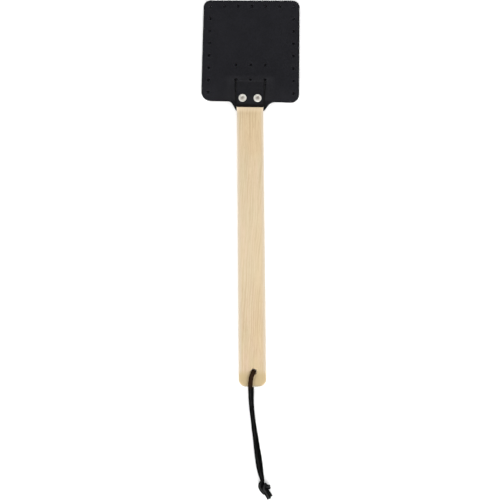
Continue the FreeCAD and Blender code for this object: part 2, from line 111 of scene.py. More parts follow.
def add_surroundings():
    """A plain pale floor and an even studio tent: bright walls all round under a dark ceiling."""
    world = bpy.data.worlds.new("studio")
    world.use_nodes = True
    nodes, links = world.node_tree.nodes, world.node_tree.links
    direction = nodes.new("ShaderNodeTexCoord").outputs["Generated"]
    parts = nodes.new("ShaderNodeSeparateXYZ")
    links.new(direction, parts.inputs[0])
    wall = nodes.new("ShaderNodeValToRGB")
    links.new(parts.outputs["Z"], wall.inputs["Fac"])
    # Brightness by the sine of the height above the horizon.
    stops = [(0.0, 0.45), (0.35, 1.0), (0.58, 1.0), (0.72, 0.002)]
    while len(wall.color_ramp.elements) < len(stops):
        wall.color_ramp.elements.new(0.5)
    for stop, (height, share) in zip(wall.color_ramp.elements, stops):
        stop.position = height
        stop.color = (share, share, share, 1.0)
    links.new(wall.outputs["Color"], nodes["Background"].inputs["Color"])
    # The wall beyond the flap is dimmer than the one beyond the handle's end.
    facing = nodes.new("ShaderNodeMapRange")
    links.new(parts.outputs["Y"], facing.inputs["Value"])
    for key, value in {"From Min": -0.8, "From Max": 0.8, "To Min": 5.3, "To Max": 2.7}.items():
        facing.inputs[key].default_value = value
    links.new(facing.outputs["Result"], nodes["Background"].inputs["Strength"])
    bpy.context.scene.world = world
    bpy.context.scene.view_settings.view_transform = "Standard"

    add_softbox("key", (0.25, -1.15, 0.90), 1.2, 0.5, 6.0)

    half = 3.0
    corners = [(-half, -half, 0), (half, -half, 0), (half, half, 0), (-half, half, 0)]
    mesh = bpy.data.meshes.new("floor")
    mesh.from_pydata(corners, [], [(0, 1, 2, 3)])
    floor = bpy.data.objects.new("floor", mesh)
    bpy.context.scene.collection.objects.link(floor)
    paper = Recipe("floor_paper")
    paper.shader.inputs["Base Color"].default_value = (0.93, 0.93, 0.93, 1.0)
    paper.shader.inputs["Roughness"].default_value = 0.9
    paper.shader.inputs["Specular IOR Level"].default_value = 0.1
    mesh.materials.append(paper.material)


# ---------------------------------------------------------------- materials


class Recipe:
    """A material's node tree, written as a recipe: each call adds a node and gives its output."""

    def __init__(self, name):
        self.material = bpy.data.materials.new(name)
        self.material.use_nodes = True
        self.tree = self.material.node_tree
        self.shader = self.tree.nodes["Principled BSDF"]

    def add(self, kind, inputs=(), **settings):
        node = self.tree.nodes.new(kind)
        for key, value in settings.items():
            setattr(node, key, value)
        for key, value in dict(inputs).items():
            self.feed(node.inputs[key], value)
        return node

    def feed(self, socket, value):
        """Links an output to a socket, or writes a plain value on it."""
        if isinstance(value, bpy.types.NodeSocket):
            self.tree.links.new(value, socket)
        else:
            socket.default_value = value

    def place(self):
        """Where a point is, in metres, in the piece's own space."""
        return self.add("ShaderNodeTexCoord").outputs["Object"]

    def attribute(self, name):
        return self.add("ShaderNodeAttribute", attribute_name=name)

    def scaled(self, vector, factors):
        node = self.add("ShaderNodeVectorMath", {0: vector, 1: factors}, operation="MULTIPLY")
        return node.outputs[0]

    def maths(self, operation, *values, clamp=False):
        inputs = dict(enumerate(values))
        return self.add("ShaderNodeMath", inputs, operation=operation, use_clamp=clamp).outputs[0]

    def noise(self, vector, scale, detail=3.0, roughness=0.5, distortion=0.0):
        inputs = {
            "Vector": vector,
            "Scale": scale,
            "Detail": detail,
            "Roughness": roughness,
            "Distortion": distortion,
        }
        return self.add("ShaderNodeTexNoise", inputs).outputs["Fac"]

    def cells(self, vector, scale, randomness):
        inputs = {"Vector": vector, "Scale": scale, "Randomness": randomness}
        return self.add("ShaderNodeTexVoronoi", inputs, feature="SMOOTH_F1").outputs["Distance"]

    def spread(self, value, low, high, to_low=0.0, to_high=1.0):
        """Takes low..high to to_low..to_high, smoothly, and holds it there beyond."""
        inputs = {
            "Value": value,
            "From Min": low,
            "From Max": high,
            "To Min": to_low,
            "To Max": to_high,
        }
        node = self.add("ShaderNodeMapRange", inputs, interpolation_type="SMOOTHSTEP")
        return node.outputs["Result"]

    def mixed(self, share, first, second):
        node = self.add("ShaderNodeMix", data_type="RGBA", clamp_factor=True)
        self.feed(node.inputs["Factor"], share)
        self.feed(node.inputs["A"], first)
        self.feed(node.inputs["B"], second)
        return next(o for o in node.outputs if o.type == "RGBA")

    def raised(self, height, distance, strength):
        """A bump whose height 0..1 stands for that distance in metres."""
        inputs = {"Height": height, "Distance": distance, "Strength": strength}
        return self.add("ShaderNodeBump", inputs).outputs["Normal"]

    def finish(self, **sockets):
        for key, value in sockets.items():
            self.feed(self.shader.inputs[key.replace("_", " ").title()], value)
        return self.material


def rgb(red, green, blue):
    """A colour from its 0..255 screen values."""

    def linear(value):
        share = value / 255.0
        return share / 12.92 if share <= 0.04045 else ((share + 0.055) / 1.055) ** 2.4

    return (linear(red), linear(green), linear(blue), 1.0)


def wood_figure(wood, place, x, y, z):
    """Leaning rings, streaks, fibres and flecks over faint patches: the colour, then fibres and flecks."""
    drift = wood.noise(wood.scaled(place, (0.035, 0.009, 0.05)), 1.0, 2.0)
    leaning = wood.maths("MULTIPLY_ADD", y, GRAIN_LEAN, wood.maths("MULTIPLY_ADD", drift, 15.0, x))
    layer = wood.maths("MULTIPLY_ADD", z, 0.6, leaning)
    ring = wood.maths("FRACT", wood.maths("DIVIDE", layer, RING_WIDTH))
    late = wood.maths(
        "MULTIPLY", wood.spread(ring, 0.35, 0.88), wood.spread(ring, 0.91, 1.0, 1.0, 0.0)
    )
    along = wood.add("ShaderNodeCombineXYZ", {0: leaning, 1: y, 2: z}).outputs[0]
    strength = wood.noise(wood.scaled(along, (0.11, 0.013, 0.11)), 1.0, 2.0)
    streaks = wood.noise(wood.scaled(along, (0.62, 0.020, 0.62)), 1.0, 3.0, 0.6)
    fibres = wood.noise(wood.scaled(along, (1.9, 0.07, 1.9)), 1.0, 4.0, 0.6, 0.3)
    fleck = wood.spread(wood.noise(wood.scaled(along, (2.2, 0.26, 2.2)), 1.0, 2.0, 0.4), 0.63, 0.72)
    patches = wood.noise(wood.scaled(place, (0.09, 0.022, 0.09)), 1.0, 3.0, 0.55)
    sallow = wood.noise(wood.scaled(place, (0.05, 0.012, 0.05)), 1.0, 2.0, 0.5)
    ground = wood.mixed(wood.spread(patches, 0.35, 0.65), rgb(175, 160, 132), rgb(179, 157, 134))
    ground = wood.mixed(wood.spread(sallow, 0.40, 0.66, 0.0, 0.6), ground, rgb(176, 157, 121))
    shown = wood.maths("MULTIPLY", late, wood.spread(strength, 0.36, 0.60, 0.05, 0.85))
    ringed = wood.mixed(shown, ground, rgb(161, 140, 107))
    darker = wood.mixed(wood.spread(streaks, 0.50, 0.70, 0.0, 0.48), ringed, rgb(158, 138, 107))
    lighter = wood.mixed(wood.spread(streaks, 0.32, 0.48, 0.38, 0.0), darker, rgb(186, 171, 141))
    fibred = wood.mixed(wood.spread(fibres, 0.48, 0.70, 0.0, 0.62), lighter, rgb(156, 135, 103))
    flecked = wood.mixed(wood.maths("MULTIPLY", fleck, 0.4), fibred, rgb(143, 117, 86))
    return flecked, fibres, fleck


def pale_wood():
    """Pale beech with nearly straight grain.

    The middle of the handle and its long edges are paler, and the wood just below the tongue is painted
    paler, painted light that lifts the tongue's shadow. The last stretch is darker from handling, and the
    end is darker and greyer: end grain, and over the last few millimetres painted shade of the rounded
    end."""
    wood = Recipe("pale_wood")
    place = wood.scaled(wood.place(), (1 / MM, 1 / MM, 1 / MM))
    x, y, z = wood.add("ShaderNodeSeparateXYZ", {0: place}).outputs
    figure, fibres, fleck = wood_figure(wood, place, x, y, z)
    from_end = wood.maths("SUBTRACT", y, HANDLE_END.y)
    from_middle = wood.maths("ABSOLUTE", wood.maths("SUBTRACT", from_end, SLAT_MIDDLE))
    bleached = wood.mixed(wood.spread(from_middle, 20.0, 110.0, 0.28, 0.0), figure, rgb(187, 174, 149))
    off_centre = wood.maths("ABSOLUTE", wood.maths("SUBTRACT", x, HANDLE_END.x))
    edged = wood.mixed(wood.spread(off_centre, 10.5, 14.8, 0.0, 0.85), bleached, rgb(176, 164, 147))
    wear_and_painted_lift = wood.mixed(wood.spread(from_end, 12.5, 21.0, 0.85, 0.0), edged, rgb(162, 143, 107))
    # Painted light: the wood just below the tongue's end is painted paler, lifting the tongue's shadow
    # there.
    below_tongue = wood.maths(
        "MULTIPLY",
        wood.spread(from_end, 307.0, 314.0, 0.0, 0.8),
        wood.spread(from_end, 314.5, 318.0, 1.0, 0.0),
    )
    on_front = wood.spread(z, SLAT_HIGH - 0.9, SLAT_HIGH - 0.1)
    painted_light_below_tongue = wood.mixed(wood.maths("MULTIPLY", below_tongue, on_front), wear_and_painted_lift, rgb(214, 195, 165))
    # Partly end grain, partly painted shade: the end and the last few millimetres of its top are painted
    # darker and greyer, standing in for the shaded rounded end.
    colour = wood.mixed(wood.spread(from_end, 0.8, 3.6, 0.9, 0.0), painted_light_below_tongue, rgb(122, 116, 98))
    relief = wood.maths(
        "SUBTRACT", wood.maths("MULTIPLY", fibres, 0.7), wood.maths("MULTIPLY", fleck, 0.3)
    )
    return wood.finish(
        base_color=colour,
        roughness=wood.spread(fibres, 0.3, 0.7, 0.46, 0.62),
        normal=wood.raised(relief, 0.00012, 0.55),
    )


def neck_painted_light_and_marks(hide, flat, face, colour):
    """The leather's colour round the neck, with its painted light and shade, in millimetres of the flat
    pattern.

    The panel is painted paler beside the tongue and towards its bottom edge, painted light that lifts the
    shade of the raised tongue. The slits are painted as dark lines of shade, and the tongue's last few
    millimetres are darker, near black."""
    stop_x, stop_y = SLIT_STOP
    x, y, _ = hide.add("ShaderNodeSeparateXYZ", {0: flat}).outputs
    across = hide.maths("ABSOLUTE", x)
    beside = hide.maths("MAXIMUM", hide.maths("SUBTRACT", across, stop_x), 0.0)
    beyond = hide.maths("MAXIMUM", hide.maths("SUBTRACT", y, stop_y), 0.0)
    offset = hide.add("ShaderNodeCombineXYZ", {0: beside, 1: hide.maths("MULTIPLY", beyond, 2.2)})
    away = hide.add("ShaderNodeVectorMath", {0: offset.outputs[0]}, operation="LENGTH")
    # Painted light: the panel is painted paler beside the tongue and towards its bottom edge, lifting the
    # raised tongue's shade.
    near_tongue = hide.spread(away.outputs["Value"], 0.0, 16.0, 0.66, 0.0)
    near_bottom = hide.spread(y, -5.0, 25.0, 0.22, 0.0)
    wear_and_painted_lift = hide.maths("ADD", near_tongue, near_bottom)
    faded = hide.maths("MULTIPLY", wear_and_painted_lift, hide.spread(y, -4.0, -1.6))
    in_tongue = hide.spread(across, stop_x - 0.6, stop_x, 1.0, 0.0)
    on_tongue = hide.maths("MULTIPLY", in_tongue, hide.spread(y, 15.0, 19.0, 1.0, 0.0))
    on_panel = hide.maths("SUBTRACT", face, on_tongue, clamp=True)
    painted_lift = hide.maths("MULTIPLY", faded, on_panel, clamp=True)
    wear_and_painted_light = hide.mixed(painted_lift, colour, rgb(34, 34, 37))

    # Painted shade: each slit is a painted dark line that runs from its stop a little closer to the middle
    # on its way down.
    slit_x = hide.maths("MULTIPLY_ADD", y, 0.04, 15.6)
    off_slit = hide.maths("ABSOLUTE", hide.maths("SUBTRACT", across, slit_x))
    below_stop = hide.spread(y, 18.0, 19.6, 1.0, 0.0)
    slit_shade = hide.maths("MULTIPLY", hide.spread(off_slit, 0.4, 1.1, 0.9, 0.0), below_stop)
    slit_shaded = hide.mixed(slit_shade, wear_and_painted_light, rgb(6, 6, 7))
    # The tongue's last few millimetres are darker, near black.
    at_end = hide.spread(y, TONGUE_END + 2.4, TONGUE_END + 4.4, 1.0, 0.0)
    return hide.mixed(hide.maths("MULTIPLY", in_tongue, at_end), slit_shaded, rgb(3, 1, 0))


def black_leather():
    """Black dyed leather: pebbled grain on the face, a napped flesh side and burnished cut edges."""
    hide = Recipe("black_leather")
    flat = hide.attribute("flat").outputs["Vector"]
    rim = hide.attribute("rim").outputs["Fac"]
    face = hide.attribute("face").outputs["Fac"]
    inset = hide.attribute("inset").outputs["Fac"]
    back = hide.maths("SUBTRACT", 1.0, face)
    wander = hide.add("ShaderNodeTexNoise", {"Vector": flat, "Scale": 0.5}).outputs["Color"]
    warped = hide.add(
        "ShaderNodeVectorMath",
        {0: flat, 1: hide.scaled(wander, (1.2, 1.2, 1.2))},
        operation="ADD",
    ).outputs[0]
    pebbles = hide.cells(warped, 0.95, 0.95)
    creases = hide.noise(warped, 0.28, 4.0, 0.62, 0.6)
    pores = hide.noise(flat, 3.4, 2.0, 0.5)
    nap = hide.noise(flat, 1.6, 5.0, 0.75)
    cloud = hide.noise(flat, 0.045, 3.0, 0.5)
    face_colour = hide.mixed(hide.spread(cloud, 0.35, 0.65), rgb(18, 18, 22), rgb(21, 21, 25))
    grained = hide.mixed(hide.spread(pebbles, 0.25, 0.7, 0.0, 0.5), face_colour, rgb(11, 11, 13))
    napped = hide.mixed(hide.spread(nap, 0.35, 0.65), rgb(38, 36, 36), rgb(56, 53, 52))
    wear_and_painted_light = neck_painted_light_and_marks(hide, flat, face, hide.mixed(face, napped, grained))
    outlined = hide.mixed(hide.spread(inset, 0.3, 1.7, 0.7, 0.0), wear_and_painted_light, rgb(6, 6, 7))
    colour = hide.mixed(hide.maths("MULTIPLY", rim, 0.8), outlined, rgb(9, 8, 9))
    grain = hide.maths(
        "ADD",
        hide.maths("MULTIPLY", hide.spread(pebbles, 0.0, 0.75, 1.0, 0.0), 0.6),
        hide.maths("ADD", hide.maths("MULTIPLY", creases, 0.9), hide.maths("MULTIPLY", pores, 0.15)),
    )
    height = hide.maths(
        "ADD",
        hide.maths("MULTIPLY", grain, face),
        hide.maths("MULTIPLY", hide.maths("MULTIPLY", nap, 1.3), back),
    )
    roughness = hide.maths(
        "ADD",
        hide.spread(creases, 0.3, 0.7, 0.55, 0.66),
        hide.maths("MULTIPLY", back, 0.3),
        clamp=True,
    )
    hide.shader.inputs["Specular IOR Level"].default_value = 0.10
    return hide.finish(
        base_color=colour, roughness=roughness, normal=hide.raised(height, 0.00022, 0.8)
    )


def lace_leather():
    """Soft black lace leather with creases, paler in the knot, with painted shade along its edges that
    leaves a painted highlight along its middle.

    It is browned where it rubs on the handle."""
    hide = Recipe("lace_leather")
    flat = hide.attribute("flat").outputs["Vector"]
    across = hide.maths("ABSOLUTE", hide.add("ShaderNodeSeparateXYZ", {0: flat}).outputs["X"])
    along = hide.add("ShaderNodeSeparateXYZ", {0: hide.place()}).outputs["Y"]
    creases = hide.noise(hide.scaled(flat, (0.9, 0.16, 0.9)), 1.0, 4.0, 0.6, 0.4)
    pores = hide.noise(flat, 2.4, 3.0, 0.6)
    wear_and_painted_light = hide.mixed(hide.spread(creases, 0.35, 0.65), rgb(3, 3, 3), rgb(25, 25, 25))
    in_knot = hide.spread(along, KNOT_LOW, KNOT_HIGH, 0.5, 0.0)
    knotted = hide.mixed(in_knot, wear_and_painted_light, rgb(46, 46, 46))
    # Painted shade: the lace's edges are painted near black, leaving a painted highlight along its middle.
    edged = hide.mixed(hide.spread(across, 0.4, 1.6), knotted, rgb(2, 2, 2))
    handle_end = HANDLE_END.y * MM
    rubbed = hide.spread(along, handle_end - 0.003, handle_end + 0.004, 0.0, 0.75)
    colour = hide.mixed(rubbed, edged, rgb(40, 25, 13))
    height = hide.maths("MULTIPLY_ADD", pores, 0.35, creases)
    hide.shader.inputs["Specular IOR Level"].default_value = 0.02
    return hide.finish(
        base_color=colour,
        roughness=hide.spread(pores, 0.3, 0.7, 0.55, 0.72),
        normal=hide.raised(height, 0.0002, 0.8),
    )


def nickel(name, tone, roughness, dents):
    """Bright nickel plate with handling marks; dents is how strongly it was hammered."""
    metal = Recipe(name)
    place = metal.scaled(metal.place(), (1 / MM, 1 / MM, 1 / MM))
    clouds = metal.noise(place, 0.55, 3.0, 0.6)
    scratches = metal.noise(metal.scaled(place, (0.5, 6.0, 1.0)), 1.0, 3.0, 0.6, 0.8)
    hammered = metal.cells(place, 1.1, 1.0)
    colour = metal.mixed(metal.spread(clouds, 0.35, 0.7), tone, rgb(186, 183, 176))
    height = metal.maths(
        "ADD",
        metal.maths("MULTIPLY", scratches, 0.05),
        metal.maths("MULTIPLY", hammered, dents),
    )
    metal.shader.inputs["Metallic"].default_value = 1.0
    return metal.finish(
        base_color=colour,
        roughness=metal.spread(scratches, 0.3, 0.7, roughness - 0.06, roughness + 0.10),
        normal=metal.raised(height, 0.0003, 0.5),
    )


# ---------------------------------------------------------------- outlines


def ring_of(centre, radius, count):
    """A hole's circle, clockwise, so that the material lies on its left."""
    turns = [-2 * math.pi * i / count for i in range(count)]
    return [(centre[0] + radius * math.cos(t), centre[1] + radius * math.sin(t)) for t in turns]


def rounded(corners):
    """A closed outline from corners (x, y, radius), each one an arc if its radius isn't 0."""
    steps = 8
    outline = []
    count = len(corners)
    for i, (x, y, radius) in enumerate(corners):
        here = Vector((x, y))
        if radius == 0:
            outline.append((x, y))
            continue
        before = (Vector(corners[i - 1][:2]) - here).normalized()
        after = (Vector(corners[(i + 1) % count][:2]) - here).normalized()
        half = before.angle(after) / 2
        centre = here + (before + after).normalized() * (radius / math.sin(half))
        start = here + before * (radius / math.tan(half)) - centre
        sweep = start.angle_signed(here + after * (radius / math.tan(half)) - centre)
        for k in range(steps + 1):
            turned = Matrix.Rotation(-sweep * k / steps, 2) @ start
            outline.append(tuple(centre + turned))
    return outline


def divided(outline, spacing):
    """The outline with its long runs divided into equal steps no longer than spacing."""
    points = []
    for (x0, y0), (x1, y1) in zip(outline, outline[1:] + outline[:1]):
        steps = max(1, math.ceil(math.hypot(x1 - x0, y1 - y0) / spacing))
        points += [(x0 + (x1 - x0) * k / steps, y0 + (y1 - y0) * k / steps) for k in range(steps)]
    return points


def moved_in(outline, distance):
    """The outline moved into the material, which lies on its left."""
    points = np.array(outline, float)
    ahead = np.roll(points, -1, axis=0) - points
    ahead /= np.linalg.norm(ahead, axis=1)[:, None]
    left = np.stack([-ahead[:, 1], ahead[:, 0]], axis=1)
    both = left + np.roll(left, 1, axis=0)
    shares = np.maximum((both * both).sum(1) / 2, 0.5)
    return points + both * (distance / shares)[:, None]


def inside(points, outline):
    """Whether each point is inside the closed outline."""
    result = np.zeros(len(points), bool)
    edge = np.array(outline, float)
    for (x0, y0), (x1, y1) in zip(edge, np.roll(edge, -1, axis=0)):
        if y0 != y1:
            crosses = (points[:, 1] > min(y0, y1)) & (points[:, 1] <= max(y0, y1))
            at = x0 + (points[:, 1] - y0) * (x1 - x0) / (y1 - y0)
            result ^= crosses & (points[:, 0] < at)
    return result


CLOSEST_POINT = 0.55  # from a border


def flat_face(outlines, grid, edge_radii):
    """A plate's flat face up to its rounded edges: its points (x, y), its border loops and its triangles.

    outlines are the outer loop, anticlockwise, and the holes, clockwise. grid are the points inside, and
    those too close to a border are dropped."""
    caps = [moved_in(loop, radius) for loop, radius in zip(outlines, edge_radii)]
    borders = np.concatenate(caps)
    grid = np.array(grid, float)
    keep = inside(grid, caps[0])
    for cap in caps[1:]:
        keep &= ~inside(grid, cap)
    grid = grid[keep]
    near = np.array([np.hypot(*(borders - p).T).min() for p in grid])
    grid = grid[near > CLOSEST_POINT]
    flat = np.concatenate([borders, grid])
    edges, first = [], 0
    for cap in caps:
        count = len(cap)
        edges += [(first + i, first + (i + 1) % count) for i in range(count)]
        first += count
    made = delaunay_2d_cdt([Vector(p) for p in flat], edges, [], 0, 1e-6)
    names = [orig[0] for orig in made[3]]
    triangles = np.array([[names[i] for i in face] for face in made[2]])
    middles = flat[triangles].mean(axis=1)
    keep = inside(middles, caps[0])
    for cap in caps[1:]:
        keep &= ~inside(middles, cap)
    triangles = triangles[keep]
    return flat, caps, triangles


def build_slab(outlines, grid, radii, thickness, rings=4):
    """A closed plate with rounded edges, each of so many rings of faces.

    Gives its vertices (x, y, height from its middle), rims (1 on the edge, 0 on the faces) and faces."""
    flat, caps, triangles = flat_face(outlines, grid, radii)
    half = thickness / 2
    vertices = [(x, y, half) for x, y in flat] + [(x, y, -half) for x, y in flat]
    rims = [0.0] * len(vertices)
    count = len(flat)
    faces = [tuple(t) for t in triangles] + [tuple(t[::-1] + count) for t in triangles]
    first = 0
    for loop, cap, radius in zip(outlines, caps, radii):
        size = len(cap)
        above = list(range(first, first + size))
        profile = []
        for k in range(1, rings + 1):
            turn = math.pi / 2 * k / rings
            profile.append((radius * (1 - math.sin(turn)), half - radius * (1 - math.cos(turn))))
        profile += [(inset, -height) for inset, height in reversed(profile)]
        for inset, height in profile:
            start = len(vertices)
            vertices += [(x, y, height) for x, y in moved_in(loop, inset)]
            rims += [1.0] * size
            below = list(range(start, start + size))
            faces += strip(above, below)
            above = below
        faces += strip(above, list(range(first + count, first + count + size)))
        first += size
    return vertices, rims, faces


def strip(above, below):
    """Faces between two closed rows of vertices."""
    count = len(above)
    return [
        (above[i], below[i], below[(i + 1) % count], above[(i + 1) % count]) for i in range(count)
    ]


# ---------------------------------------------------------------- pieces


def new_piece(name, vertices, faces, material):
    """A mesh piece whose vertices are given in millimetres."""
    mesh = bpy.data.meshes.new(name)
    mesh.from_pydata([Vector(v) * MM for v in vertices], [], faces)
    mesh.validate()
    mesh.materials.append(material)
    mesh.polygons.foreach_set("use_smooth", [True] * len(mesh.polygons))
    piece = bpy.data.objects.new(name, mesh)
    bpy.context.scene.collection.objects.link(piece)
    return piece


def write_attribute(piece, name, values):
    """A number or a vector for each vertex, which the material reads."""
    values = np.array(values, np.float32)
    kind, field = ("FLOAT", "value") if values.ndim == 1 else ("FLOAT_VECTOR", "vector")
    attribute = piece.data.attributes.new(name, kind, "POINT")
    attribute.data.foreach_set(field, values.ravel())


def face_by_area(piece):
    """Shades flat faces flat up to their rounded edges."""
    facing = piece.modifiers.new("facing", "WEIGHTED_NORMAL")
    facing.weight = 50


def span(low, high, step):
    return np.arange(low, high + step / 2, step)


def grid_over(columns, rows):
    return [(x, y) for y in rows for x in columns]


def make_handle(material):
    """The slat: a bowed and rounded end, softened edges, the lace hole and the two rivet holes."""
    half_end, half_top, length, bow, corner = 15.45, 14.8, 333.4, 1.3, 7.0
    side_end = SLAT_END + bow
    outline = rounded(
        [
            (-half_end, side_end, corner),
            (half_end, side_end, corner),
            (half_top, length, 0.0),
            (-half_top, length, 0.0),
        ]
    )
    outline = [
        (x, y - bow * (1 - (x / half_end) ** 2) * max(0.0, 1 - (y - side_end) / corner))
        for x, y in divided(outline, 2.5)
    ]
    lace_hole = ring_of(LACE_HOLE, LACE_HOLE_RADIUS, 32)
    rivet_holes = [ring_of(centre, RIVET_HOLE_RADIUS, 20) for centre in rivet_centres()]
    grid = grid_over(span(-14.0, 14.0, 3.5), span(2.0, 332.0, 5.0))
    edge_radii = [1.4, 1.2, 0.15, 0.15]  # the slat's own edge, the lace hole's and the rivet holes'
    vertices, _, faces = build_slab(
        [outline, lace_hole, *rivet_holes], grid, edge_radii, SLAT_HIGH - SLAT_LOW
    )
    middle = (SLAT_LOW + SLAT_HIGH) / 2
    placed = [(x + HANDLE_END.x, y + HANDLE_END.y, z + middle) for x, y, z in vertices]
    piece = new_piece("handle_slat", placed, faces, material)
    face_by_area(piece)
    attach(piece, "handle")
    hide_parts("handle")
    return piece


def rivet_centres():
    """The rivets' centres from the handle's end, left and then right, on the flap's own line."""
    across = RIVET_HALF_SPACING * math.cos(FLAP_TURN)
    upward = RIVET_HALF_SPACING * math.sin(FLAP_TURN)
    return [(NECK_X + side * across, RIVET_ROW + side * upward) for side in (-1, 1)]


# The leather's flat pattern, from the point midway between the rivets.
SLIT_STOP = (16.4, 20.2)
AIR_HOLE = 1.25
TONGUE_END = -14.2
EAR_TIP = -14.4
EAR_LEFT, EAR_RIGHT = -14.85, 15.10  # the slits' ends, close beside the slat
BEND_RADIUS = 4.0  # of the leather's middle layer
BEND_LOW = 18.6  # where the level and the climbing middle layers would meet
CLIMB = SLAT_HIGH  # how far the middle layer climbs
TONGUE_SPREAD = 0.015  # the tongue bulges that much wider where it is up on the slat
TONGUE_RIVETS = 10.25  # from the tongue's end
PANEL_BOTTOM = -4.3
PANEL_HALF = 54.0
CURL_FROM, CURL_OVER = 30.0, 79.0  # the panel is flat up to there and then curls up a little


def flap_outline():
    """The panel, two ears and the tongue between its two slits, as one anticlockwise loop."""
    stop_x, stop_y = SLIT_STOP

    def around_stop(side):
        first, last, count = 266.5, -86.5, 14
        turns = [math.radians(first + (last - first) * k / count) for k in range(count + 1)]
        return [
            (side * stop_x + AIR_HOLE * math.cos(t), stop_y + AIR_HOLE * math.sin(t), 0.0)
            for t in turns
        ]

    left, right, kerf, tip = EAR_LEFT, EAR_RIGHT, 0.05, 0.75
    corners = [
        (-54.85, PANEL_BOTTOM, 10.7),
        (-21.6, PANEL_BOTTOM, 5.0),
        (left - tip, EAR_TIP, 0.0),
        (left, EAR_TIP, 0.0),
    ]
    corners += around_stop(-1)
    corners += [(left + kerf, TONGUE_END, 1.2), (right - kerf, TONGUE_END, 1.2)]
    corners += around_stop(1)
    corners += [
        (right, EAR_TIP, 0.0),
        (right + tip, EAR_TIP, 0.0),
        (23.6, PANEL_BOTTOM, 9.0),
        (55.1, PANEL_BOTTOM - 0.6, 9.3),
        (53.85, 109.75, 7.5),
        (-53.55, 108.35, 7.5),
    ]
    return divided(rounded(corners), 1.2)


def air_hole_centres():
    """A row along the top, a column down each side and two rows above the neck.

    The lower row's outer holes are the slits' stops, which belong to the outline."""
    pitch, middle, low, left, right, lean = 15.5, 0.65, 5.75, 102.1, 103.3, 1.3
    centres = [(middle + pitch * (i - 3), left + (right - left) * i / 6) for i in range(7)]
    for side, top in ((-1, left), (1, right)):
        for i in range(1, 8):
            share = i / 7
            x = middle + side * (3 * pitch + lean * share)
            centres.append((x, top + (low - top) * share))
    stop_x, stop_y = SLIT_STOP
    centres += [(x, 36.9) for x in (-stop_x, 0.0, stop_x)]
    centres.append((0.0, stop_y))
    return centres


def climb(level):
    """Where the tongue's middle layer is: (y, z, slope) for a distance along the flat pattern.

    It lies flat on the ground side, climbs at 45 degrees and lies level on the slat."""
    slope = math.pi / 4
    cut = BEND_RADIUS * math.tan(slope / 2)
    arc = BEND_RADIUS * slope
    run = CLIMB * math.sqrt(2) - 2 * cut
    down = BEND_LOW + cut - level
    middle = LEATHER / 2
    if down <= 0:
        return level, middle, 0.0
    if down <= arc:
        turn = down / BEND_RADIUS
        return (
            BEND_LOW + cut - BEND_RADIUS * math.sin(turn),
            middle + BEND_RADIUS * (1 - math.cos(turn)),
            turn,
        )
    if down <= arc + run:
        along = (cut + down - arc) * math.sqrt(0.5)
        return BEND_LOW - along, middle + along, slope
    top = middle + CLIMB
    if down <= 2 * arc + run:
        turn = (2 * arc + run - down) / BEND_RADIUS
        return (
            BEND_LOW - CLIMB - cut + BEND_RADIUS * math.sin(turn),
            top - BEND_RADIUS * (1 - math.cos(turn)),
            turn,
        )
    return BEND_LOW - CLIMB - cut - (down - 2 * arc - run), top, 0.0


def fold_flap(x, y, height):
    """Where a point of the flat pattern lies once the flap is folded, that far above its middle layer."""
    share = (y - EAR_TIP) / (SLIT_STOP[1] - AIR_HOLE - EAR_TIP)
    left = EAR_LEFT + (-SLIT_STOP[0] - EAR_LEFT) * share
    right = EAR_RIGHT + (SLIT_STOP[0] - EAR_RIGHT) * share
    if left < x < right and y < BEND_LOW + BEND_RADIUS:
        along, level, slope = climb(y)
        spread = 1 + TONGUE_SPREAD * (level - LEATHER / 2) / CLIMB
        return Vector((x * spread, along + height * math.sin(slope), level + height * math.cos(slope)))
    away = max(0.0, y - CURL_FROM) / CURL_OVER
    outward = (x / PANEL_HALF) ** 2
    lift = 0.75 * away**2 * (0.35 + 0.65 * outward) + 0.25 * away * outward
    return Vector((x, y, LEATHER / 2 + height + lift))


def make_flap(material):
    """The leather: panel, ears and tongue in one piece, with its punched holes."""
    rivets = [(side * RIVET_HALF_SPACING, TONGUE_END + TONGUE_RIVETS) for side in (-1, 1)]
    holes = [ring_of(centre, AIR_HOLE, 18) for centre in air_hole_centres()]
    holes += [ring_of(centre, RIVET_HOLE_RADIUS, 20) for centre in rivets]
    outline = flap_outline()
    rows = np.concatenate([span(-12.5, 1.5, 2.0), span(2.3, 21.5, 0.8), span(23.5, 108.0, 3.0)])
    grid = grid_over(span(-52.5, 52.5, 3.0), rows)
    edge_radii = [0.34] + [0.25] * len(holes)
    vertices, rims, faces = build_slab([outline, *holes], grid, edge_radii, LEATHER, rings=3)
    placed = [TO_FLAP @ fold_flap(*v) for v in vertices]
    piece = new_piece("leather_flap", placed, faces, material)
    write_attribute(piece, "flat", vertices)
    write_attribute(piece, "rim", rims)
    write_attribute(piece, "face", [1.0 if v[2] > 0 else 0.0 for v in vertices])
    loop = np.array(outline)
    write_attribute(piece, "inset", [np.hypot(*(loop - v[:2]).T).min() for v in vertices])
    face_by_area(piece)
    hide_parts("flap_panel", "flap_tongue")
    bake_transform(piece)
    return piece


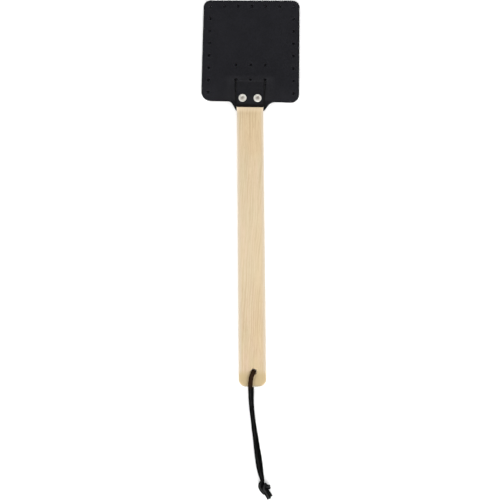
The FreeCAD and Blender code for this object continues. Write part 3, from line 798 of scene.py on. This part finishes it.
def turned(name, profile, centre, material, body, count=48, wobble=0.0):
    """A lathe piece on an upright axis. Its profile (radius, z) runs from the axis, or is a closed loop.

    wobble makes it that much out of round."""
    vertices, faces, rows = [], [], []
    for radius, height in profile:
        if radius == 0:
            rows.append([len(vertices)])
            vertices.append((centre[0], centre[1], height))
            continue
        rows.append(list(range(len(vertices), len(vertices) + count)))
        for i in range(count):
            turn = 2 * math.pi * i / count
            swell = 1 + wobble * math.sin(3 * turn + 1.0) + wobble * 0.6 * math.sin(7 * turn)
            vertices.append(
                (
                    centre[0] + radius * swell * math.cos(turn),
                    centre[1] + radius * swell * math.sin(turn),
                    height,
                )
            )
    closed = profile[0][0] != 0
    pairs = list(zip(rows, rows[1:])) + ([(rows[-1], rows[0])] if closed else [])
    for inner, outer in pairs:
        if len(inner) == 1:
            faces += [(inner[0], outer[i], outer[(i + 1) % count]) for i in range(count)]
        elif len(outer) == 1:
            faces += [(outer[0], inner[(i + 1) % count], inner[i]) for i in range(count)]
        else:
            faces += strip(inner, outer)
    piece = new_piece(name, vertices, faces, material)
    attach(piece, body)
    return piece


def make_fasteners(plate, hammered):
    """Two rivets: a domed head below, and above the leather a dished burr and the peened post."""
    leather_top = SLAT_HIGH + LEATHER
    for side, (x, y) in zip(("left", "right"), rivet_centres()):
        centre = (x + HANDLE_END.x, y + HANDLE_END.y)
        burr = [
            (1.95, leather_top),
            (4.32, leather_top),
            (4.35, leather_top + 0.30),
            (4.25, leather_top + 0.62),
            (4.00, leather_top + 0.90),
            (3.60, leather_top + 1.08),
            (3.20, leather_top + 1.10),
            (2.85, leather_top + 0.98),
            (2.50, leather_top + 0.70),
            (1.95, leather_top + 0.60),
        ]
        ring = turned(f"burr_{side}", burr, centre, plate, "handle")
        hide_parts(f"rivet_burr_{side}")
        top = leather_top + 0.62
        rivet = [
            (0.0, 0.0),
            (2.2, 0.02),
            (3.4, 0.35),
            (4.3, 0.95),
            (4.85, 1.65),
            (5.0, 2.15),
            (4.95, SLAT_LOW),
            (1.9, SLAT_LOW),
            (1.9, top),
            (2.25, top + 0.10),
            (2.28, top + 0.38),
            (2.05, top + 0.66),
            (1.55, top + 0.86),
            (0.8, top + 0.93),
            (0.0, top + 0.94),
        ]
        post = turned(f"rivet_{side}_peened", rivet, centre, hammered, "handle", wobble=0.012)
        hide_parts(f"rivet_{side}")


# ---------------------------------------------------------------- lace and knot

# The lace's route, the same as in the CAD source: (x, y, z) in metres from the handle's end centre.
LACE_ROUTE = [
    (0.01024, -0.10515, 0.00340),
    (0.0087, -0.0994, 0.00335),
    (0.0067, -0.0922, 0.00330),
    (0.0051, -0.0830, 0.00325),
    (0.0037, -0.0715, 0.00330),
    (0.0026, -0.0600, 0.00325),
    (0.0012, -0.0480, 0.00330),
    (0.0001, -0.0360, 0.00335),
    (-0.0010, -0.0260, 0.00390),
    (-0.0018, -0.0170, 0.00560),
    (-0.0024, -0.0090, 0.00840),
    (-0.0026, -0.0020, 0.01090),
    (-0.00245, 0.0048, 0.01095),
    (-0.00146, 0.01186, 0.01085),
    (0.00051, 0.01607, 0.01085),
    (0.00177, 0.01879, 0.00795),
    (0.00177, 0.01879, 0.00385),
    (0.00051, 0.01607, 0.00110),
    (-0.0012, 0.01240, 0.00110),
    (-0.0015, 0.0050, 0.00110),
    (-0.0009, -0.0035, 0.00110),
    (-0.0012, -0.0125, 0.00110),
    (-0.0008, -0.0235, 0.00110),
    (0.0001, -0.0345, 0.00110),
    (0.0018, -0.0465, 0.00110),
    (0.0039, -0.0585, 0.00110),
    (0.0055, -0.0705, 0.00110),
    (0.0073, -0.0820, 0.00110),
    (0.0082, -0.0915, 0.00110),
    (0.0090, -0.09935, 0.00110),
    (0.01050, -0.10510, 0.00110),
]
LACE_WIDTH, LACE_THICK = 4.6, 2.0
LACE_SPREAD = 1.08  # how much wider the free strands lie than the lace was cut
HOLE_PLANE = Vector((-0.4226, -0.9063, 0.0))  # both strands leave the hole in this direction


def smooth_line(route, steps=8):
    """Points along a NURBS spline that has the route as its control points."""
    curve = bpy.data.curves.new("route", "CURVE")
    curve.dimensions, curve.resolution_u = "3D", steps
    spline = curve.splines.new("NURBS")
    spline.points.add(len(route) - 1)
    for control, place in zip(spline.points, route):
        control.co = (*place, 1.0)
    spline.order_u = 3
    spline.use_endpoint_u = True
    holder = bpy.data.objects.new("route", curve)
    mesh = bpy.data.meshes.new_from_object(holder)
    line = [v.co.copy() for v in mesh.vertices]
    bpy.data.meshes.remove(mesh)
    bpy.data.objects.remove(holder)
    bpy.data.curves.remove(curve)
    return line


def band_section(width, thick, count, square=3.4):
    """A flat lace's rounded section: (across, up) round its edge."""
    section = []
    for i in range(count):
        turn = 2 * math.pi * i / count
        c, s = math.cos(turn), math.sin(turn)
        across = math.copysign(abs(c) ** (2 / square), c) * width / 2
        upward = math.copysign(abs(s) ** (2 / square), s) * thick / 2
        section.append((across, upward))
    return section


def make_band(name, line, sides, widths, thicks, material, cap=0.35):
    """A flat band along a line in millimetres, its width along sides. Its ends are cut square."""
    vertices, faces, flat = [], [], []
    count = 20
    along = 0.0
    rows = []
    total = len(line)
    for i, (place, side, width, thick) in enumerate(zip(line, sides, widths, thicks)):
        ahead = (line[min(i + 1, total - 1)] - line[max(i - 1, 0)]).normalized()
        side = (side - ahead * side.dot(ahead)).normalized()
        upward = side.cross(ahead)
        if i:
            along += (place - line[i - 1]).length
        rows.append(range(len(vertices), len(vertices) + count))
        for across, up in band_section(width, thick, count):
            vertices.append(place + side * across + upward * up)
            flat.append((across, along, up))
    for above, below in zip(rows, rows[1:]):
        faces += strip(list(above), list(below))
    for row, step, sign in ((rows[0], line[0] - line[1], -1), (rows[-1], line[-1] - line[-2], 1)):
        centre = sum((vertices[k] for k in row), Vector()) / count
        out = step.normalized() * cap
        start = len(vertices)
        for k in row:
            vertices.append(centre + (vertices[k] - centre) * 0.9 + out)
            flat.append(flat[k])
        lid = list(range(start, start + count))
        faces += strip(list(row), lid) if sign > 0 else strip(lid, list(row))
        faces.append(tuple(lid[::-1]) if sign > 0 else tuple(lid))
    piece = new_piece(name, vertices, faces, material)
    write_attribute(piece, "flat", flat)
    return piece


def make_lace(material):
    """The two strands of the lace, from the middle of the hole to the knot, front and rear."""
    shift = HANDLE_END * MM
    line = smooth_line([Vector(p) + shift for p in LACE_ROUTE], 10)
    in_hole = shift + Vector((0.0, 18.8, (SLAT_LOW + SLAT_HIGH) / 2)) * MM
    through = min(range(len(line)), key=lambda i: (line[i] - in_hole).length)
    hole_side = HOLE_PLANE.cross(Vector((0, 0, 1)))
    strands = {"lace_front": line[through::-1], "lace_rear": line[through:]}
    pieces = []
    for name, path in strands.items():
        path_mm = [p / MM for p in path]
        sides, widths, thicks = [], [], []
        lengths = np.cumsum([0.0] + [(b - a).length for a, b in zip(path_mm, path_mm[1:])])
        for i, reached in enumerate(lengths):
            ahead = (path_mm[min(i + 1, len(path_mm) - 1)] - path_mm[max(i - 1, 0)]).normalized()
            side = (ahead.cross(Vector((0, 0, 1))) + hole_side * 0.02).normalized()
            sides.append(side)
            # Narrower where it enters the knot, and broadest some way before it.
            left = lengths[-1] - reached
            pinch = 0.8 + 0.2 * min(1.0, left / 6.0)
            gathered = 0.13 * math.exp(-(((left - 16.0) / 14.0) ** 2))
            swell = 1 + gathered + 0.02 * math.sin(reached / 7.0)
            widths.append(LACE_WIDTH * LACE_SPREAD * pinch * swell)
            thicks.append(LACE_THICK * (1 + 0.03 * math.sin(reached / 5.0 + 1.0)))
        piece = make_band(name, path_mm, sides, widths, thicks, material)
        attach(piece, "lanyard")
        pieces.append((piece, path, lengths[-1] * MM))
    return pieces


# Each band of the knot: its width at its start and further on, then control points (x, y, z) in
# millimetres from the handle's end centre, each with the direction that its face looks in there. The
# strands come in at the neck, at about (10.3, -104.6).
KNOT_BANDS = {
    "knot_loop": (
        3.2,
        4.7,
        [
            ((10.4, -103.6, 3.6), (0.1, 0.1, 1.0)),
            ((9.0, -106.6, 4.4), (-0.2, 0.1, 1.0)),
            ((7.2, -109.8, 4.5), (-0.5, 0.0, 0.9)),
            ((7.9, -113.3, 4.3), (-0.6, -0.2, 0.8)),
            ((10.4, -116.9, 3.9), (-0.4, -0.3, 0.9)),
            ((12.5, -118.8, 2.8), (-0.2, -0.5, 0.8)),
            ((14.2, -118.9, 1.6), (0.3, -0.6, 0.7)),
        ],
    ),
    "knot_wrap": (
        4.0,
        4.0,
        [
            ((14.0, -108.4, 1.6), (0.6, 0.6, 0.4)),
            ((13.5, -108.8, 3.6), (0.5, 0.6, 0.8)),
            ((12.4, -110.4, 5.6), (0.1, 0.3, 1.0)),
            ((11.4, -112.8, 6.1), (-0.1, 0.0, 1.0)),
            ((12.2, -115.6, 5.4), (-0.1, -0.4, 1.0)),
            ((13.9, -117.6, 3.4), (0.2, -0.8, 0.6)),
            ((14.6, -117.9, 1.8), (0.3, -0.9, 0.2)),
        ],
    ),
    "knot_bight": (
        5.3,
        5.3,
        [
            ((11.0, -110.8, 1.4), (0.0, 0.0, 1.0)),
            ((14.2, -111.4, 1.5), (0.0, 0.0, 1.0)),
            ((17.0, -111.8, 1.7), (0.1, 0.0, 1.0)),
            ((18.3, -111.9, 2.9), (1.0, 0.0, 0.1)),
            ((17.0, -111.7, 4.3), (0.3, 0.1, 1.0)),
            ((14.2, -111.3, 4.8), (0.0, 0.0, 1.0)),
            ((11.6, -111.2, 4.6), (0.0, 0.0, 1.0)),
        ],
    ),
    "knot_tail_upper": (
        4.7,
        4.7,
        [
            ((11.3, -114.4, 3.5), (-0.1, 0.0, 1.0)),
            ((12.9, -117.0, 3.6), (-0.1, 0.0, 1.0)),
            ((14.9, -119.8, 3.5), (-0.1, 0.1, 1.0)),
            ((17.55, -124.9, 3.2), (-0.1, 0.1, 1.0)),
        ],
    ),
    "knot_tail_lower": (
        4.7,
        4.7,
        [
            ((12.8, -113.0, 1.3), (0.0, 0.0, 1.0)),
            ((15.0, -116.0, 1.2), (0.0, 0.0, 1.0)),
            ((17.2, -119.1, 1.1), (0.0, 0.0, 1.0)),
            ((19.3, -122.6, 1.1), (0.0, 0.0, 1.0)),
        ],
    ),
    "knot_under": (
        3.2,
        4.7,
        [
            ((10.2, -104.0, 1.4), (0.0, 0.0, 1.0)),
            ((10.2, -107.5, 1.3), (0.0, 0.0, 1.0)),
            ((9.4, -111.0, 1.3), (0.0, 0.0, 1.0)),
            ((10.4, -114.8, 1.3), (0.0, 0.0, 1.0)),
            ((12.6, -117.6, 1.3), (0.0, 0.0, 1.0)),
        ],
    ),
}


OPENS_OVER = 3.5  # how far from its start a band has its full width


def make_knot(material):
    """An overhand knot pulled tight: one band over another, and the two cut tails."""
    pieces = []
    for name, (first_width, width, rows) in KNOT_BANDS.items():
        places = [HANDLE_END + Vector(place) for place, _ in rows]
        looks = [HANDLE_END + Vector(place) + Vector(look).normalized() for place, look in rows]
        line = smooth_line(places, 8)
        tips = smooth_line(looks, 8)
        sides = []
        for i, (place, tip) in enumerate(zip(line, tips)):
            ahead = (line[min(i + 1, len(line) - 1)] - line[max(i - 1, 0)]).normalized()
            sides.append(ahead.cross(tip - place).normalized())
        lengths = np.cumsum([0.0] + [(b - a).length for a, b in zip(line, line[1:])])
        widths = np.interp(lengths, (0.0, OPENS_OVER), (first_width, width)).tolist()
        thicks = [LACE_THICK * 0.95] * len(line)
        piece = make_band(name, line, sides, widths, thicks, material)
        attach(piece, "lanyard")
        pieces.append(piece)
    return pieces


def make_lanyard(material):
    """The lace and its knot: the two free strands and the knot's bands."""
    knot = make_knot(material)
    for piece in knot:
        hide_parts("lanyard_knot")
    for piece, path, length in make_lace(material):
        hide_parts("lanyard_lace")


add_camera()
add_surroundings()
make_lanyard(lace_leather())
make_handle(pale_wood())
make_flap(black_leather())
make_fasteners(
    nickel("nickel_plate", rgb(216, 214, 208), 0.34, 0.0),
    nickel("nickel_hammered", rgb(170, 163, 155), 0.40, 0.30),
)
